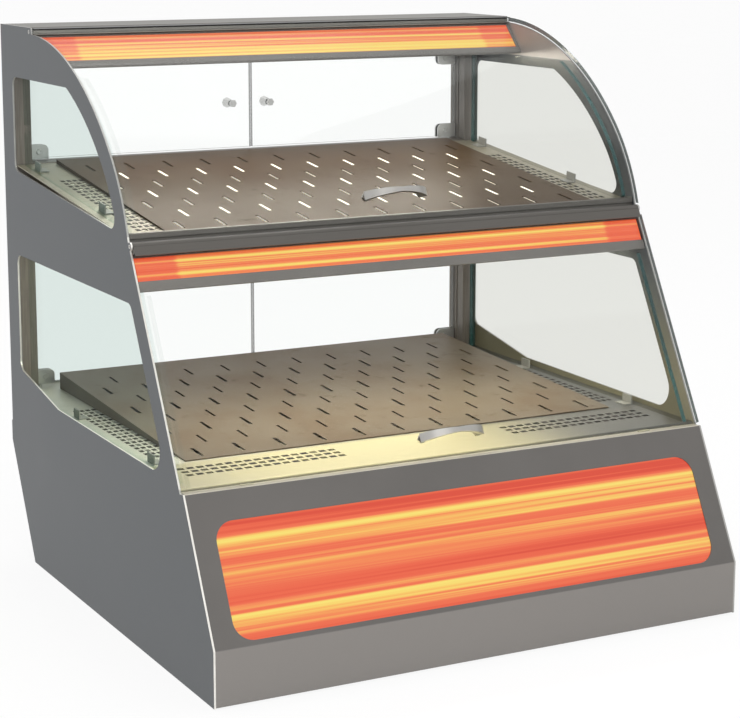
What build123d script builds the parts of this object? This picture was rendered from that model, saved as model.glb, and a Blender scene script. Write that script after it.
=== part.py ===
from build123d import *
from math import atan2, cos, degrees, hypot, radians, sin, sqrt, tan
import os

# Heated display case: a two-level counter cabinet with a folded base, two side sheets with
# windows, a curved upper front glass, a flat lower front glass and four glass doors behind.
# Millimetres. X runs along the width, +Y to the operator's side, +Z up.
# The origin is at the middle of the footprint, on the counter.

# Overall size
case_width = 780
case_depth = 758
half_width = case_width / 2
pad_height = 2

# Thicknesses, and the radius of the sheet metal bends
side_sheet = 2.5
front_sheet = 1.5
thin_sheet = 1.2
glass = 6
diffuser = 3
bend_radius = 2.5
inner_half = half_width - side_sheet

# Gaps: round a pin, between pieces of one body, between bodies, and beyond a face that is cut
pin_play = 0.05
slip = 0.2
touch = 0.3
beyond = 10

# Front line of the base: a vertical kick, then a sloped panel with a flange on top
kick_height = 74.5
front_top = (88.5, 248.2)
flange_depth = 14.5
flange_drop = 12
kick_return = 22

# Outer faces of the two front glasses: a flat line, then a tight arc, then a wide arc that is
# level at its top
flat_foot = (91.5, 250.6)
split_height = 540.5
lower_radius = 281
upper_radius = 424
arc_change = 138
apex_depth = 627
apex_height = 792
edge_inset = 7.5
seam = 1

# Rear line of the side sheets
back_depth = 754.6
step_depth = 758
step_height = 200.7
slant_height = 171.4
slant_foot = 667
top_height = 793.5

# Levels inside
deck_top = 251
shelf_front = (268, 543.5)
shelf_slope = 6.28
shelf_back = 704
ceiling_height = 738

# Hinges of the two front glasses
upper_pivot = (627.5, 787.5)
lower_pivot = (252.7, 534)
pin_radius = 2.5
upper_bulb = 4.5
lower_bulb = 5.5

# Rear posts and doors
post_inner = 364
post_front = 706
post_back = 750
door_plane = 734
door_middle = door_plane + glass / 2
door_edge = 361.5
door_gap = 1.5
door_pivot_x = 351.5
door_pin = 2.5
rail_low = 562
rail_high = 592

# Control face at the back of the base
control_face = step_depth - 20
control_height = 224
switch_places = (-300, -255)
knob_places = (-190, -130)
gland_x = 300

upright = (Align.CENTER, Align.CENTER, Align.MIN)
hanging = (Align.CENTER, Align.CENTER, Align.MAX)

os.makedirs("parts", exist_ok=True)


def at(depth, height):
    """A point of the side view: distance behind the front foot line, height over the counter."""
    return (depth - case_depth / 2, height)


def bar(face, x_low, x_high):
    """A side-view face extruded along the width of the case."""
    return extrude(Plane.YZ.offset(x_low) * face, x_high - x_low)


def outline(*points):
    """A closed side-view face through the points."""
    return make_face(Polyline(*[at(*point) for point in points], close=True))


def path(*points):
    """An open side-view line through the points."""
    return Polyline(*[at(*point) for point in points])


def closed_face(*edges):
    return make_face(Curve() + list(edges))


def folded(points, thickness, x_low, x_high):
    """Sheet metal bent along a side-view path, its thickness on the left of the path."""
    line = FilletPolyline(*[at(*point) for point in points], radius=bend_radius)
    section = make_face(offset(line, amount=thickness, side=Side.LEFT))
    return bar(section, x_low, x_high)


def block(x, depth, height, sizes):
    """A box centred at the point, its sizes along the width, the depth and the height."""
    return Pos(x, depth - case_depth / 2, height) * Box(*sizes)


def rod(x_start, place, radius, length):
    """A round rod along the width, from x on, centred on a side-view place."""
    return Pos(x_start, *at(*place)) * Rot(0, 90, 0) * Cylinder(radius, length, align=upright)


def prism(radius, sides, height):
    """A bar with flat sides on the plane z = 0, its corners on the radius."""
    return extrude(RegularPolygon(radius, sides), height)


def mirrored(solid):
    return mirror(solid, about=Plane.YZ)


def both(solid):
    """The piece and its mirror image on the other side of the case."""
    return Part() + [solid, mirrored(solid)]


def steps(first, pitch, count):
    return [first + pitch * index for index in range(count)]


def slope_plane(start, end):
    """A plane through a side-view line: its y axis runs up the line, its z axis points out."""
    run = end[0] - start[0]
    rise = end[1] - start[1]
    length = hypot(run, rise)
    return Plane(origin=(0, *at(*start)), x_dir=(1, 0, 0), z_dir=(0, -rise / length, run / length))


def polar(centre, radius, angle):
    return (centre[0] + radius * cos(radians(angle)), centre[1] + radius * sin(radians(angle)))


# The curved front line: the wide upper arc, and the tight arc that runs into it
upper_centre = (apex_depth, apex_height - upper_radius)
junction = polar(upper_centre, upper_radius, arc_change)
lower_centre = polar(junction, -lower_radius, arc_change)


def curve_angle(inset, height):
    """The angle on the lower arc, moved inward by the inset, where it is at the height."""
    rise = height - lower_centre[1]
    radius = lower_radius - inset
    return degrees(atan2(rise, -sqrt(radius**2 - rise**2)))


def curve_point(inset, height):
    return polar(lower_centre, lower_radius - inset, curve_angle(inset, height))


def upper_arc_point(inset, angle):
    return polar(upper_centre, upper_radius - inset, angle)


def upper_arc_angle(inset, height):
    """The angle on the upper arc, moved inward by the inset, where it is at the height."""
    rise = height - upper_centre[1]
    return degrees(atan2(rise, -sqrt((upper_radius - inset) ** 2 - rise**2)))


def crown_angle(depth):
    """The angle near the top of the upper arc that lies at the depth."""
    return degrees(atan2(1, (depth - apex_depth) / upper_radius))


def front_arcs(inset, height, end_angle):
    """The two arcs moved inward by the inset, from the height up to the end angle."""
    start = curve_angle(inset, height)
    low = CenterArc(at(*lower_centre), lower_radius - inset, start, arc_change - start)
    high = CenterArc(at(*upper_centre), upper_radius - inset, arc_change, end_angle - arc_change)
    return [low, high]


# The flat front line, from the foot of the lower glass to the foot of the curved one
flat_head = curve_point(0, split_height)
flat_angle = atan2(flat_head[1] - flat_foot[1], flat_head[0] - flat_foot[0])
flat_length = hypot(flat_head[0] - flat_foot[0], flat_head[1] - flat_foot[1])


def flat_point(along, inset):
    """A point on the flat front line: along it from the foot, and moved inward."""
    return (
        flat_foot[0] + along * cos(flat_angle) + inset * sin(flat_angle),
        flat_foot[1] + along * sin(flat_angle) - inset * cos(flat_angle),
    )


def flat_depth(height, inset):
    """The depth at which the flat front line, moved inward, is at the height."""
    along = (height - flat_foot[1] + inset * cos(flat_angle)) / sin(flat_angle)
    return flat_point(along, inset)[0]


def flat_strip(low, high, outer, inner):
    """A side-view face between two distances along the flat line and two insets from it."""
    return outline(
        flat_point(low, outer),
        flat_point(high, outer),
        flat_point(high, inner),
        flat_point(low, inner),
    )


def shelf_height(depth):
    """The height of the top of the sloped upper shelf."""
    return shelf_front[1] + (depth - shelf_front[0]) * tan(radians(shelf_slope))


def sloped(depth, drop=0):
    """A point of the shelf's upper surface, or below it by the drop."""
    return (depth, shelf_height(depth) - drop)


# Side sheets, with their two windows and the ears that carry the glass pins
ear_front = 617
ear_run = 1.5
window_inset = edge_inset + 34
window_back = 708
window_corner = 14
foot_corner = 28
lower_window_top = 460
lower_window_foot = 257
lower_window_bend = (545, 260)
lower_window_rear = 289
upper_window_top = 720
upper_window_foot = 547
upper_window_rear = 584.5


def side_outline():
    crest_angle = crown_angle(ear_front)
    front = path(
        (0, pad_height),
        (0, kick_height),
        front_top,
        flat_point(0, edge_inset),
        curve_point(edge_inset, split_height),
    )
    back = path(
        upper_arc_point(edge_inset, crest_angle),
        (ear_front + ear_run, top_height),
        (back_depth, top_height),
        (back_depth, step_height),
        (step_depth, step_height),
        (step_depth, slant_height),
        (slant_foot, pad_height),
        (0, pad_height),
    )
    return closed_face(front, *front_arcs(edge_inset, split_height, crest_angle), back)


def lower_window():
    face = outline(
        (flat_depth(lower_window_top, window_inset), lower_window_top),
        (window_back, lower_window_top),
        (window_back, lower_window_rear),
        lower_window_bend,
        (flat_depth(lower_window_foot, window_inset), lower_window_foot),
    )
    corners = face.vertices().group_by(Axis.Y)
    face = fillet(corners[-1] + corners[-2], window_corner)
    return fillet(face.vertices().group_by(Axis.Y)[0], foot_corner)


def upper_window():
    top_angle = upper_arc_angle(window_inset, upper_window_top)
    back = path(
        upper_arc_point(window_inset, top_angle),
        (window_back, upper_window_top),
        (window_back, upper_window_rear),
        curve_point(window_inset, upper_window_foot),
    )
    face = closed_face(*front_arcs(window_inset, upper_window_foot, top_angle), back)
    corners = face.vertices().group_by(Axis.Y)
    return fillet(corners[0] + corners[1] + corners[-1], window_corner)


def side_sheet_solid():
    ear = Pos(*at(*lower_pivot)) * Circle(lower_bulb)
    face = side_outline() + ear - lower_window() - upper_window()
    for pivot in (lower_pivot, upper_pivot):
        face -= Pos(*at(*pivot)) * Circle(pin_radius + pin_play)
    return bar(face, inner_half, half_width)


# Base: folded front panel, and the lit graphic panel behind its round-cornered window
front_plane = slope_plane((0, kick_height), front_top)
graphic_half = 358
graphic_low = 6.5
graphic_high = 156
graphic_corner = 26
graphic_lap = 12
graphic_start = 1.5


def front_panel_solid():
    top_back = front_top[0] + flange_depth
    points = [
        (top_back, front_top[1] - flange_drop),
        (top_back, front_top[1]),
        front_top,
        (0, kick_height),
        (0, pad_height),
        (kick_return, pad_height),
    ]
    sheet = folded(points, front_sheet, -inner_half, inner_half)
    middle = (graphic_low + graphic_high) / 2
    window = RectangleRounded(2 * graphic_half, graphic_high - graphic_low, graphic_corner)
    return sheet - extrude(front_plane * Pos(0, middle) * window, beyond, both=True)


def graphic_panel_solid():
    high = graphic_high + graphic_lap
    face = Rectangle(2 * (graphic_half + graphic_lap), high - graphic_start)
    middle = Pos(0, (graphic_start + high) / 2)
    return extrude(front_plane.offset(-front_sheet - diffuser) * middle * face, diffuser)


# Light box behind the graphic: an open folded tray with two tubes
light_box_depth = 62
light_box_low = 4
light_box_lap = 10


def light_box_solid():
    high = graphic_high + light_box_lap
    height = high - light_box_low
    width = 2 * (graphic_half + light_box_lap)
    back_plane = front_plane.offset(-front_sheet - diffuser - light_box_depth)
    middle = Pos(0, (light_box_low + high) / 2)
    outer = extrude(back_plane * middle * Rectangle(width, height), light_box_depth)
    hollow = middle * Rectangle(width - 2 * thin_sheet, height - 2 * thin_sheet)
    return outer - extrude(back_plane.offset(thin_sheet) * hollow, light_box_depth)


# Light tubes and their holders, in the light box, the shelf and the header
tube_radius = 8
tube_half = 350
holder_radius = 10
holder_width = 6
holder_foot = 12
holder_sides = 8
graphic_tubes = (48, 120)
graphic_tube_inset = 34
graphic_seat_inset = 65.2
shelf_tube = (272, 505)
shelf_tube_seat = (281, 494)
header_tube = (630, 757.5)
header_tube_seat = (630, ceiling_height + thin_sheet)


def graphic_place(up, behind):
    """A side-view place behind the sloped panel: up its slope, and behind its outer face."""
    point = (front_plane.offset(-behind) * Pos(0, up)).position
    return (point.Y + case_depth / 2, point.Z)


def lamp_places():
    """The place of each tube, with the place where its holders meet the housing."""
    behind = [
        (graphic_place(up, graphic_tube_inset), graphic_place(up, graphic_seat_inset))
        for up in graphic_tubes
    ]
    return [*behind, (shelf_tube, shelf_tube_seat), (header_tube, header_tube_seat)]


def light_tubes():
    tubes = [rod(-tube_half, place, tube_radius, 2 * tube_half) for place, seat in lamp_places()]
    return Part() + tubes


def lamp_holders():
    """Two holders for each tube: a head at the tube's end, and a foot that reaches the housing."""
    holders = []
    for place, seat in lamp_places():
        reach = (seat[0] - place[0], seat[1] - place[1])
        tilt = degrees(atan2(reach[1], reach[0]))
        middle = at((place[0] + seat[0]) / 2, (place[1] + seat[1]) / 2)
        head = prism(holder_radius, holder_sides, holder_width)
        head = Pos(tube_half, *at(*place)) * Rot(0, 90, 0) * head
        foot = Box(holder_width, hypot(*reach), holder_foot)
        foot = Pos(tube_half + holder_width / 2, *middle) * Rot(tilt, 0, 0) * foot
        holders.append(both(head + foot))
    return Part() + holders


# Base pan, rear panel with louvres and control face, and the pads below
pan_front = 24
pan_back = 650
pan_lip = 20
vent_size = (90, 8, beyond)
vent_pitch = 120
vent_columns = 5
vent_depths = (440, 465)
louvre_size = (132, 8)
louvre_pitch = 160
louvre_columns = 4
louvre_rows = (48, 68, 88, 108)
panel_toe = 14
panel_top = deck_top - 4
switch_cut = (28, 2 * beyond, 20)
bushing_cut = 5.2
bushing_sides = 8
gland_cut = 8.2
pad_size = 32
pad_chamfer = 1
pad_x = 330
pad_depths = (60, 610)


def centred_steps(pitch, count):
    return steps(-pitch * (count - 1) / 2, pitch, count)


def base_pan_solid():
    floor = pad_height + front_sheet
    points = [
        (pan_front, floor + pan_lip),
        (pan_front, floor),
        (pan_back, floor),
        (pan_back, floor + pan_lip),
    ]
    pan = folded(points, thin_sheet, -inner_half + slip / 2, inner_half - slip / 2)
    vents = [
        block(x, depth, floor, vent_size)
        for x in centred_steps(vent_pitch, vent_columns)
        for depth in vent_depths
    ]
    return pan - (Part() + vents)


def control_holes():
    """Cutters through the control face: two switches, two bushings and the gland."""
    across = Pos(0, *at(control_face, control_height)) * Rot(90, 0, 0)
    bushing = extrude(RegularPolygon(bushing_cut, bushing_sides), beyond / 2, both=True)
    holes = [block(x, control_face, control_height, switch_cut) for x in switch_places]
    holes += [Pos(x, 0, 0) * across * bushing for x in knob_places]
    holes.append(Pos(gland_x, 0, 0) * across * Cylinder(gland_cut, beyond))
    return Part() + holes


def rear_panel_solid():
    foot = (slant_foot - 1, pad_height + front_sheet)
    points = [
        (foot[0] - panel_toe, foot[1]),
        foot,
        (step_depth, slant_height),
        (step_depth, step_height),
        (control_face, step_height),
        (control_face, panel_top),
    ]
    sheet = folded(points, thin_sheet, -inner_half, inner_half)
    slant = slope_plane((step_depth, slant_height), foot)
    louvres = [
        Pos(x, y) * Rectangle(*louvre_size)
        for x in centred_steps(louvre_pitch, louvre_columns)
        for y in louvre_rows
    ]
    return sheet - extrude(slant * (Sketch() + louvres), beyond, both=True) - control_holes()


def foot_pads():
    pad = Box(pad_size, pad_size, pad_height + front_sheet, align=upright)
    pad = chamfer(pad.edges().group_by(Axis.Z)[0], pad_chamfer)
    return Part() + [Pos(x, *at(depth, 0)) * pad for x in (-pad_x, pad_x) for depth in pad_depths]


# Deck of the lower level, punched along its front edge and down both sides
deck_front = front_top[0] + flange_depth + 0.8
deck_back = 753
deck_lip = 4
deck_half = inner_half - slip
deck_opening_half = 306
deck_opening = (262, 690)
front_slot = (8.5, 7, beyond)
front_slot_columns = steps(133, 27, 9)
front_slot_rows = (163, 179, 195)
side_slot = (6, 7, beyond)
side_slot_columns = (332, 350)
deck_side_rows = steps(270, 34, 9)
shelf_side_rows = steps(300, 34, 9)


def punched(columns, rows, height_at, size):
    """Cutters for a field of slots, the same on both sides of the case."""
    cutters = [block(x, depth, height_at(depth), size) for x in columns for depth in rows]
    return both(Part() + cutters)


def deck_height(depth):
    return deck_top


def door_pin_holes(height):
    """Holes for the door pins, through a level sheet at the height."""
    hole = Cylinder(door_pin + pin_play, 2 * beyond)
    return both(Pos(door_pivot_x, *at(door_middle, height)) * hole)


def deck_solid():
    points = [
        (deck_back, deck_top + deck_lip),
        (deck_back, deck_top),
        (deck_front, deck_top),
        (deck_front, deck_top - flange_drop),
    ]
    sheet = folded(points, thin_sheet, -deck_half, deck_half)
    low, high = deck_opening
    opening = block(0, (low + high) / 2, deck_top, (2 * deck_opening_half, high - low, beyond))
    sheet -= opening + door_pin_holes(deck_top)
    sheet -= punched(front_slot_columns, front_slot_rows, deck_height, front_slot)
    return sheet - punched(side_slot_columns, deck_side_rows, deck_height, side_slot)


# Trays: slotted plates with skirts, which lie loose on the deck and on the shelf
tray_half = 329
tray_front = 226
tray_back = 711
tray_low = 252.8
tray_high = 276
shelf_tray_front = 276
shelf_tray_back = 700
shelf_tray_rise = (1.8, 6)
tray_slot = (5, 36, 14)
tray_slot_pitch = 60
tray_slot_columns = 11
tray_row_start = 30
tray_row_pitch = 110
tray_row_space = 50


def tray_height(depth):
    return tray_low + (depth - tray_front) / (tray_back - tray_front) * (tray_high - tray_low)


def shelf_tray_height(depth):
    low, high = shelf_tray_rise
    share = (depth - shelf_tray_front) / (shelf_tray_back - shelf_tray_front)
    return shelf_height(depth) + low + share * (high - low)


def skirted_plate(front, back, foot_at, top_at):
    """A slotted plate on a closed skirt, open below, between two side-view lines."""
    outer = outline(
        (front, foot_at(front)),
        (back, foot_at(back)),
        (back, top_at(back)),
        (front, top_at(front)),
    )
    low = front + thin_sheet
    high = back - thin_sheet
    hollow = outline(
        (low, foot_at(low) - beyond),
        (high, foot_at(high) - beyond),
        (high, top_at(high) - thin_sheet),
        (low, top_at(low) - thin_sheet),
    )
    inner = tray_half - thin_sheet
    plate = bar(outer, -tray_half, tray_half) - bar(hollow, -inner, inner)
    rows = int((back - front - tray_row_space) / tray_row_pitch) + 1
    slots = [
        block(x, depth, top_at(depth), tray_slot)
        for x in centred_steps(tray_slot_pitch, tray_slot_columns)
        for depth in steps(front + tray_row_start, tray_row_pitch, rows)
    ]
    return plate - (Part() + slots)


def lower_tray_solid():
    return skirted_plate(tray_front, tray_back, lambda depth: deck_top + touch, tray_height)


def shelf_tray_solid():
    return skirted_plate(
        shelf_tray_front,
        shelf_tray_back,
        lambda depth: shelf_height(depth) + touch,
        shelf_tray_height,
    )


# Upper shelf: a sloped plate over a folded pan with a deeper light trough along its front
shelf_half = inner_half - touch
shelf_opening_half = 316
shelf_opening = (296, 680)
opening_reach = 80
strip_low = 279.5
strip_high = 319
strip_inset = 9.5
border_low = 266
border_lip = 2.2
pan_inset = strip_inset + 3.5
trough_run = 34
trough_corner = (318, 512)
pan_drops = (36, 6)
heater_depths = (330, 690)
heater_drops = (22, 26)


def shelf_deck_solid():
    front = shelf_front[0]
    plate = bar(
        outline(
            sloped(front),
            sloped(shelf_back),
            sloped(shelf_back, thin_sheet),
            sloped(front, thin_sheet),
        ),
        -shelf_half,
        shelf_half,
    )
    low, high = shelf_opening
    middle = (low + high) / 2
    reach = (2 * shelf_opening_half, high - low, opening_reach)
    plate -= block(0, middle, shelf_height(middle), reach)
    return plate - punched(side_slot_columns, shelf_side_rows, shelf_height, side_slot)


def shelf_pan_solid():
    corner = flat_point(border_low, strip_inset)
    points = [
        flat_point(strip_low, pan_inset),
        flat_point(border_low, pan_inset),
        (corner[0] + trough_run, corner[1] - 2),
        trough_corner,
        sloped(shelf_back - 2, pan_drops[0]),
        sloped(shelf_back - 2, pan_drops[1]),
    ]
    return folded(points, thin_sheet, -shelf_half, shelf_half)


def shelf_border_solid():
    """An angle profile: a face below the light strip, and a lip under its foot."""
    face = flat_strip(border_low, strip_low, strip_inset, strip_inset + border_lip)
    lip = flat_strip(border_low, border_low + border_lip, strip_inset, pan_inset - slip)
    return bar(face + lip, -shelf_half, shelf_half)


def shelf_strip_solid():
    face = flat_strip(strip_low + slip, strip_high - slip, strip_inset, strip_inset + diffuser)
    return bar(face, -shelf_half + 2, shelf_half - 2)


def shelf_heater_solid():
    """A flat heating mat under the slotted part of the shelf."""
    front, back = heater_depths
    high, low = heater_drops
    face = outline(sloped(front, high), sloped(back, high), sloped(back, low), sloped(front, low))
    return bar(face, -tray_half, tray_half)


# Front profile of the shelf: a lip behind the curved glass, a step, and a face above the strip
lip_top = shelf_front[1] + 5
lip_inset = 9.2
lip_run = 4
step_top = split_height + 1.2
step_inset = 11.5
trim_inset = 11.9
trim_face = 12
trim_foot = 6
trim_drop = 14
shelf_lap = 2
shelf_seat = 0.4


def shelf_trim_solid():
    foot = flat_point(strip_high, trim_inset)
    lip_front = curve_point(lip_inset, lip_top)[0]
    seat = shelf_front[0] - touch
    lap = shelf_front[0] + shelf_lap
    face = outline(
        foot,
        flat_point(strip_high + trim_face, trim_inset),
        (flat_depth(step_top, step_inset), step_top),
        (flat_depth(step_top, lip_inset), step_top + shelf_seat),
        (lip_front, lip_top),
        (lip_front + lip_run, lip_top + 2 * shelf_seat),
        (lap, lip_top - 1),
        (lap, shelf_front[1] + 2 * shelf_seat),
        (seat, shelf_front[1] + shelf_seat),
        (seat, shelf_front[1] - trim_foot),
        (lap + 1, shelf_front[1] - trim_drop),
        (foot[0] + trim_foot, foot[1] + 2),
    )
    return bar(face, -shelf_half, shelf_half)


# Rear posts, and the crossbar between them that carries the door pins of both levels
post_sheet = 1.5
groove_depth = 18
groove = (2.4, 5)
groove_lip = (2.8, 8)
rail_front_depth = post_front + 0.5


def post_solid():
    """A folded corner post with a groove down its inner face."""
    depth = post_back - post_front
    width = inner_half - post_inner
    front, foot = at(post_front, deck_top)
    middle = Pos(post_inner + width / 2, front + depth / 2)
    profile = middle * Rectangle(width, depth)
    profile -= middle * Pos(post_sheet, 0) * Rectangle(width, depth - 2 * post_sheet)
    groove_place = Pos(post_inner, front + groove_depth)
    profile += groove_place * Pos(2, 0) * Rectangle(*groove_lip)
    profile -= groove_place * Rectangle(*groove)
    return extrude(Pos(0, 0, foot) * profile, ceiling_height - deck_top)


def shelf_rail_solid():
    points = [
        (post_back, rail_high),
        (rail_front_depth, rail_high),
        (rail_front_depth, rail_low),
        (post_back, rail_low),
        (post_back, rail_high - 12),
    ]
    rail = folded(points, thin_sheet, -post_inner + touch, post_inner - touch)
    return rail - door_pin_holes(rail_low) - door_pin_holes(rail_high)


# Panes behind the windows, held upright by small clips
pane_inner = 372
pane_front_inset = 12
pane_back = 697
lower_pane_span = (deck_top + 0.4, 473)
upper_pane_span = (shelf_front[1] + 9, 734)
upper_pane_foot = 0.5
clip_base = (14, 22, 1.6)
clip_tongue = (2, 22, 13)
lower_clips = (240, 520)
shelf_clips = (400, 660)


def lower_pane_solid():
    foot, top = lower_pane_span
    face = outline(
        (flat_depth(foot, pane_front_inset), foot),
        (pane_back, foot),
        (pane_back, top),
        (flat_depth(top, pane_front_inset), top),
    )
    return bar(face, pane_inner, pane_inner + glass)


def upper_pane_solid():
    foot, top = upper_pane_span
    end_angle = upper_arc_angle(pane_front_inset, top)
    back = path(
        upper_arc_point(pane_front_inset, end_angle),
        (pane_back, top),
        sloped(pane_back, -upper_pane_foot),
        sloped(shelf_front[0] + glass, -upper_pane_foot),
        curve_point(pane_front_inset, foot),
    )
    face = closed_face(*front_arcs(pane_front_inset, foot, end_angle), back)
    return bar(face, pane_inner, pane_inner + glass)


def clip(depth, height, tilt):
    """An angle clip: a base on the plate below, and a tongue up the pane's inner face."""
    base = Box(*clip_base, align=upright)
    tongue = Pos((clip_base[0] - clip_tongue[0]) / 2, 0, 0) * Box(*clip_tongue, align=upright)
    place = Pos(pane_inner - slip - clip_base[0] / 2, *at(depth, height + pin_play))
    return both(place * Rot(tilt, 0, 0) * (base + tongue))


def pane_clips():
    clips = [clip(depth, deck_top, 0) for depth in lower_clips]
    clips += [clip(depth, shelf_height(depth), shelf_slope) for depth in shelf_clips]
    return Part() + clips


# Header behind the top of the curved glass: a folded housing and its sloped light strip
header_low = (567, ceiling_height)
header_top = (611, 782.9)
header_flange = 619
header_back = 720
header_half = inner_half - 0.5
header_window = (15, 60)
header_window_side = 5
header_strip = (9, 61.5)
header_strip_side = 2
header_plane = slope_plane(header_low, header_top)


def header_face(span, side):
    """A face on the header's slope, between two distances up it."""
    low, high = span
    return Pos(0, (low + high) / 2) * Rectangle(2 * (header_half - side), high - low)


def header_solid():
    points = [
        (header_flange, header_top[1]),
        header_top,
        header_low,
        (header_back, ceiling_height),
    ]
    sheet = folded(points, thin_sheet, -header_half, header_half)
    window = header_plane * header_face(header_window, header_window_side)
    return sheet - extrude(window, beyond / 2, both=True)


def header_strip_solid():
    inside = header_plane.offset(-thin_sheet - diffuser - slip / 2)
    return extrude(inside * header_face(header_strip, header_strip_side), diffuser)


# Roof: a folded panel from above the header's back to the door heads
roof_front = 634.2
roof_front_low = 779.5
roof_sill = header_back + 2
roof_back = back_depth - 2 * touch


def roof_solid():
    points = [
        (roof_sill, ceiling_height),
        (roof_back, ceiling_height),
        (roof_back, top_height),
        (roof_front, top_height),
        (roof_front, roof_front_low),
    ]
    return folded(points, thin_sheet, -inner_half, inner_half) - door_pin_holes(ceiling_height)


# Curved upper front glass and flat lower front glass
glass_top_angle = 91.6
upper_foot = split_height + seam
lower_glass_start = 2
lower_glass_top = flat_length - 16


def arc_band(outer, inner, start, end):
    """A face between two insets from the upper arc, from one of its angles to another."""
    arcs = [
        CenterArc(at(*upper_centre), upper_radius - inset, start, end - start) for inset in (outer, inner)
    ]
    ends = [
        Line(at(*upper_arc_point(outer, angle)), at(*upper_arc_point(inner, angle)))
        for angle in (start, end)
    ]
    return closed_face(*arcs, *ends)


def upper_glass_solid():
    foot = Line(at(*curve_point(0, upper_foot)), at(*curve_point(glass, upper_foot)))
    head = Line(*[at(*upper_arc_point(inset, glass_top_angle)) for inset in (0, glass)])
    faces = [front_arcs(inset, upper_foot, glass_top_angle) for inset in (0, glass)]
    return bar(closed_face(*faces[0], *faces[1], foot, head), -half_width, half_width)


def lower_glass_solid():
    face = flat_strip(lower_glass_start, lower_glass_top, 0, glass)
    return bar(face, -half_width, half_width)


# Hinge rails and pins of the two front glasses
rail_half = inner_half - 0.6
upper_rail_front = 606
upper_rail_lip = 1
lower_rail_lip = 1.5
lower_rail_tip = flat_length - 20
lower_rail_heel = flat_length - 7.5


def upper_rail_solid():
    """Two lips that grip the curved glass, and a bulb behind them round the pins."""
    front = crown_angle(upper_rail_front)
    lips = arc_band(-upper_rail_lip, glass + upper_rail_lip, 90, front)
    channel = arc_band(0, glass, glass_top_angle - pin_play, front + 1)
    bulb = Pos(*at(*upper_pivot)) * Circle(upper_bulb)
    return bar(lips + bulb - channel, -rail_half, rail_half)


def lower_rail_solid():
    """Two lips that grip the flat glass, and a bulb behind them round the pins."""
    body = flat_strip(lower_rail_tip, lower_rail_heel, -lower_rail_lip, glass + lower_rail_lip)
    channel = flat_strip(lower_rail_tip - 1, lower_glass_top, 0, glass)
    bulb = Pos(*at(*lower_pivot)) * Circle(lower_bulb)
    return bar(body + bulb - channel, -rail_half, rail_half)


def hinge_pins(pivot):
    """Two pins that run from the ends of the rail through the side sheets."""
    return both(rod(rail_half, pivot, pin_radius, half_width - rail_half))


# Bow handles of both front glasses, each with two studs through the glass into cap nuts
handle_spacing = 84
handle_rise = 24
handle_foot = 6
handle_heel = 5
handle_thick = 5
handle_waist = 3.2
stud_radius = 2.5
nut_radius = 6
nut_height = 3
upper_handle_height = 577
lower_handle_along = 30


def bow_handle():
    """A bow over two feet: wide at the feet and slim in the middle, on the plane z = 0."""
    half = handle_spacing / 2
    tip = half + handle_foot
    heel = half - handle_heel
    arcs = [
        ThreePointArc((-tip, 0), (0, handle_rise), (tip, 0)),
        ThreePointArc((-heel, 0), (0, handle_rise - handle_thick), (heel, 0)),
    ]
    feet = [Line((side * tip, 0), (side * heel, 0)) for side in (-1, 1)]
    side_view = closed_face(*arcs, *feet)
    crescent = extrude(Plane.XZ * side_view, handle_foot, both=True)
    corners = [
        (-tip, -handle_foot),
        (0, -handle_waist),
        (tip, -handle_foot),
        (tip, handle_foot),
        (0, handle_waist),
        (-tip, handle_foot),
    ]
    bow = crescent & extrude(make_face(Polyline(*corners, close=True)), 2 * handle_rise)
    stud = prism(stud_radius, 6, -glass - slip / 2)
    nut = Pos(0, 0, -glass - slip / 2) * prism(nut_radius, 6, -nut_height)
    return bow + [Pos(side * half, 0, 0) * (stud + nut) for side in (-1, 1)]


def handle_holes():
    hole = Cylinder(stud_radius + 2 * pin_play, 4 * glass)
    return Part() + [Pos(side * handle_spacing / 2, 0, 0) * hole for side in (-1, 1)]


def upper_handle_plane():
    angle = radians(curve_angle(0, upper_handle_height))
    origin = (0, *at(*curve_point(0, upper_handle_height)))
    return Plane(origin=origin, x_dir=(1, 0, 0), z_dir=(0, cos(angle), sin(angle)))


def lower_handle_plane():
    return slope_plane(flat_point(lower_handle_along, 0), flat_head)


# Rear doors: a pane with two corner clamps that carry the pins, and a knob
lower_door = (deck_top + 7.5, rail_low - 5)
upper_door = (rail_high + 5, ceiling_height - 6)
knob_inset = 30
knob_foot = 5
knob_head = 8
knob_height = 16
knob_sides = 8
stem_radius = 2.9
clamp_size = (32, glass + 5, 21)
clamp_lap = 1.5
clamp_corner = 8
clamp_side = 0.5
pin_length = 7
pin_set = 4.5


def knob_place(span):
    return (door_gap + knob_inset, (span[0] + span[1]) / 2)


def door_pane(span):
    low, high = span
    back = door_plane + glass
    face = outline((door_plane, low), (back, low), (back, high), (door_plane, high))
    x, height = knob_place(span)
    hole = Rot(90, 0, 0) * Cylinder(stem_radius + 2 * pin_play, 2 * glass)
    return bar(face, door_gap, door_edge) - Pos(x, *at(door_middle, height)) * hole


def door_clamp(edge, inward):
    """One corner clamp: two cheeks over the pane's corner, and the pin it turns on."""
    width, depth, height = clamp_size
    centre_x = door_edge + clamp_side - width / 2
    centre_z = edge + inward * (height / 2 - clamp_lap)
    cheeks = block(centre_x, door_middle, centre_z, clamp_size)
    inner_edges = cheeks.edges().filter_by(Axis.Y).sort_by(Axis.X)[:2].sort_by(Axis.Z)
    cheeks = fillet(inner_edges[-1 if inward > 0 else 0], clamp_corner)
    slot = (width, glass, 2 * height)
    cheeks -= block(centre_x - clamp_side, door_middle, edge + inward * height, slot)
    pin = Cylinder(door_pin, pin_length)
    return cheeks + Pos(door_pivot_x, *at(door_middle, edge - inward * pin_set)) * pin


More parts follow.
